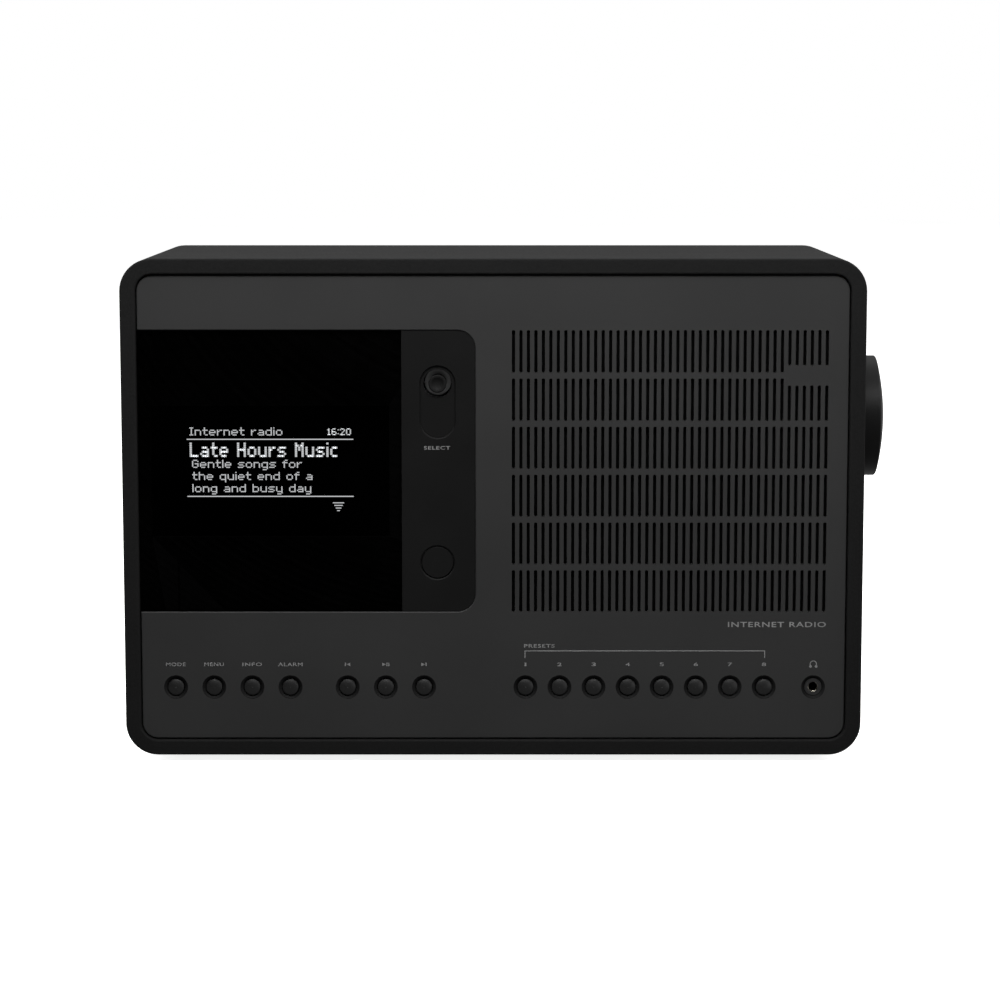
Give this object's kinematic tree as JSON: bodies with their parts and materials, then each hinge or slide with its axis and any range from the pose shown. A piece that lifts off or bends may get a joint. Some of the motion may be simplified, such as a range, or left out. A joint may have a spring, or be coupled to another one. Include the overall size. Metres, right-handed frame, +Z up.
{
  "type": "tabletop radio",
  "caption": "Tabletop internet radio with a display window, joystick, slotted grille, push buttons and a side volume knob, in a wrapped wooden cabinet.",
  "frame": {"origin": "bottom centre of the whole radio's box, at the level of the feet's undersides", "axes": "+X to the user's right as they face the front, towards the volume knob; +Y from the front to the back; +Z up"},
  "size_m": [0.275, 0.115, 0.18],
  "materials": {
    "cabinet_wrap": "matte",
    "foot_rubber": "matte",
    "batten_wood": "matte",
    "panel_aluminium": "satin",
    "window_acrylic": "gloss",
    "fascia_acrylic": "satin",
    "moulded_plastic": "matte",
    "zinc_steel": "satin",
    "display_glass": "gloss",
    "acoustic_cloth": "matte",
    "circuit_board": "satin",
    "switch_plastic": "satin",
    "socket_plastic": "satin",
    "hinge_steel": "satin",
    "key_plastic": "satin",
    "basket_steel": "satin",
    "magnet_iron": "matte",
    "cone_paper": "matte",
    "surround_rubber": "matte",
    "shaft_brass": "satin",
    "knob_plastic": "satin",
    "shield_steel": "satin",
    "sink_aluminium": "matte",
    "component_plastic": "satin",
    "socket_brass": "polished",
    "black_steel": "satin",
    "aerial_sleeve": "matte"
  },
  "bodies": {
    "housing": {"cabinet": "cabinet_wrap", "feet": "foot_rubber", "corner_battens": "batten_wood", "front_panel": "panel_aluminium", "display_window": "window_acrylic", "control_fascia": "fascia_acrylic", "remote_window": "window_acrylic", "front_baffle": "moulded_plastic", "baffle_screws": "zinc_steel", "display_module": "display_glass", "grille_cloth": "acoustic_cloth", "key_board": "circuit_board", "key_switches": "switch_plastic", "headphone_socket": "socket_plastic", "joystick_base": "moulded_plastic", "speaker_basket": "basket_steel", "speaker_magnet": "magnet_iron", "speaker_suspension": "surround_rubber", "speaker_screws": "zinc_steel", "volume_encoder": "hinge_steel", "encoder_nut": "zinc_steel", "main_board": "circuit_board", "board_posts": "moulded_plastic", "network_module": "shield_steel", "heat_sink": "sink_aluminium", "board_components": "component_plastic", "ethernet_socket": "shield_steel", "aux_socket": "socket_plastic", "line_out_sockets": "socket_brass", "power_inlet": "socket_plastic", "rear_panel": "moulded_plastic", "rear_screws": "black_steel", "bass_port": "moulded_plastic", "aerial_socket": "socket_brass"},
    "mode_button": {"button_mode": "key_plastic"},
    "menu_button": {"button_menu": "key_plastic"},
    "info_button": {"button_info": "key_plastic"},
    "alarm_button": {"button_alarm": "key_plastic"},
    "previous_button": {"button_previous": "key_plastic"},
    "play_button": {"button_play": "key_plastic"},
    "next_button": {"button_next": "key_plastic"},
    "preset_1_button": {"button_preset_1": "key_plastic"},
    "preset_2_button": {"button_preset_2": "key_plastic"},
    "preset_3_button": {"button_preset_3": "key_plastic"},
    "preset_4_button": {"button_preset_4": "key_plastic"},
    "preset_5_button": {"button_preset_5": "key_plastic"},
    "preset_6_button": {"button_preset_6": "key_plastic"},
    "preset_7_button": {"button_preset_7": "key_plastic"},
    "preset_8_button": {"button_preset_8": "key_plastic"},
    "gimbal_ring": {"joystick_gimbal": "hinge_steel"},
    "rocker_disc": {"joystick_rocker": "hinge_steel"},
    "select_stick": {"joystick_stick": "key_plastic"},
    "standby_plunger": {"encoder_plunger": "switch_plastic"},
    "knob": {"volume_shaft": "shaft_brass", "volume_knob": "knob_plastic"},
    "cone": {"speaker_cone": "cone_paper"},
    "aerial_elbow": {"aerial_knuckle": "moulded_plastic"},
    "aerial": {"aerial_rod": "aerial_sleeve"}
  },
  "joints": [
    {"name": "mode_press", "type": "slide", "parent": "housing", "child": "mode_button", "axis": [0, 1, 0], "range_m": [0, 0.0004], "stiffness_N_per_m": 900, "springref_m": -0.0004},
    {"name": "menu_press", "type": "slide", "parent": "housing", "child": "menu_button", "axis": [0, 1, 0], "range_m": [0, 0.0004], "stiffness_N_per_m": 900, "springref_m": -0.0004},
    {"name": "info_press", "type": "slide", "parent": "housing", "child": "info_button", "axis": [0, 1, 0], "range_m": [0, 0.0004], "stiffness_N_per_m": 900, "springref_m": -0.0004},
    {"name": "alarm_press", "type": "slide", "parent": "housing", "child": "alarm_button", "axis": [0, 1, 0], "range_m": [0, 0.0004], "stiffness_N_per_m": 900, "springref_m": -0.0004},
    {"name": "previous_press", "type": "slide", "parent": "housing", "child": "previous_button", "axis": [0, 1, 0], "range_m": [0, 0.0004], "stiffness_N_per_m": 900, "springref_m": -0.0004},
    {"name": "play_press", "type": "slide", "parent": "housing", "child": "play_button", "axis": [0, 1, 0], "range_m": [0, 0.0004], "stiffness_N_per_m": 900, "springref_m": -0.0004},
    {"name": "next_press", "type": "slide", "parent": "housing", "child": "next_button", "axis": [0, 1, 0], "range_m": [0, 0.0004], "stiffness_N_per_m": 900, "springref_m": -0.0004},
    {"name": "preset_1_press", "type": "slide", "parent": "housing", "child": "preset_1_button", "axis": [0, 1, 0], "range_m": [0, 0.0004], "stiffness_N_per_m": 900, "springref_m": -0.0004},
    {"name": "preset_2_press", "type": "slide", "parent": "housing", "child": "preset_2_button", "axis": [0, 1, 0], "range_m": [0, 0.0004], "stiffness_N_per_m": 900, "springref_m": -0.0004},
    {"name": "preset_3_press", "type": "slide", "parent": "housing", "child": "preset_3_button", "axis": [0, 1, 0], "range_m": [0, 0.0004], "stiffness_N_per_m": 900, "springref_m": -0.0004},
    {"name": "preset_4_press", "type": "slide", "parent": "housing", "child": "preset_4_button", "axis": [0, 1, 0], "range_m": [0, 0.0004], "stiffness_N_per_m": 900, "springref_m": -0.0004},
    {"name": "preset_5_press", "type": "slide", "parent": "housing", "child": "preset_5_button", "axis": [0, 1, 0], "range_m": [0, 0.0004], "stiffness_N_per_m": 900, "springref_m": -0.0004},
    {"name": "preset_6_press", "type": "slide", "parent": "housing", "child": "preset_6_button", "axis": [0, 1, 0], "range_m": [0, 0.0004], "stiffness_N_per_m": 900, "springref_m": -0.0004},
    {"name": "preset_7_press", "type": "slide", "parent": "housing", "child": "preset_7_button", "axis": [0, 1, 0], "range_m": [0, 0.0004], "stiffness_N_per_m": 900, "springref_m": -0.0004},
    {"name": "preset_8_press", "type": "slide", "parent": "housing", "child": "preset_8_button", "axis": [0, 1, 0], "range_m": [0, 0.0004], "stiffness_N_per_m": 900, "springref_m": -0.0004},
    {"name": "select_up_down", "type": "hinge", "parent": "housing", "child": "gimbal_ring", "pos_m": [-0.0257, -0.0479, 0.13585], "axis": [1, 0, 0], "range_deg": [-7, 7], "stiffness_Nm_per_rad": 0.08},
    {"name": "select_left_right", "type": "hinge", "parent": "gimbal_ring", "child": "rocker_disc", "pos_m": [-0.0257, -0.0479, 0.13585], "axis": [0, 0, 1], "range_deg": [-7, 7], "stiffness_Nm_per_rad": 0.08},
    {"name": "select_press", "type": "slide", "parent": "rocker_disc", "child": "select_stick", "axis": [0, 1, 0], "range_m": [0, 0.0004], "stiffness_N_per_m": 900, "springref_m": -0.0004},
    {"name": "standby_press", "type": "slide", "parent": "housing", "child": "standby_plunger", "axis": [-1, 0, 0], "range_m": [0, 0.0004], "stiffness_N_per_m": 1500, "springref_m": -0.0004},
    {"name": "volume_turn", "type": "hinge", "parent": "standby_plunger", "child": "knob", "pos_m": [0.1255, -0.0075, 0.1199], "axis": [1, 0, 0], "continuous": true},
    {"name": "cone_stroke", "type": "slide", "parent": "housing", "child": "cone", "axis": [0, 1, 0], "range_m": [-0.0015, 0.0015], "stiffness_N_per_m": 1200, "deforming": ["speaker_suspension"]},
    {"name": "aerial_swivel", "type": "hinge", "parent": "housing", "child": "aerial_elbow", "pos_m": [0.099, 0.0495, 0.151], "axis": [0, 1, 0], "range_deg": [-5, 90]},
    {"name": "aerial_tilt", "type": "hinge", "parent": "aerial_elbow", "child": "aerial", "pos_m": [0.099, 0.0532, 0.151], "axis": [1, 0, 0], "range_deg": [0, 155]}
  ]
}
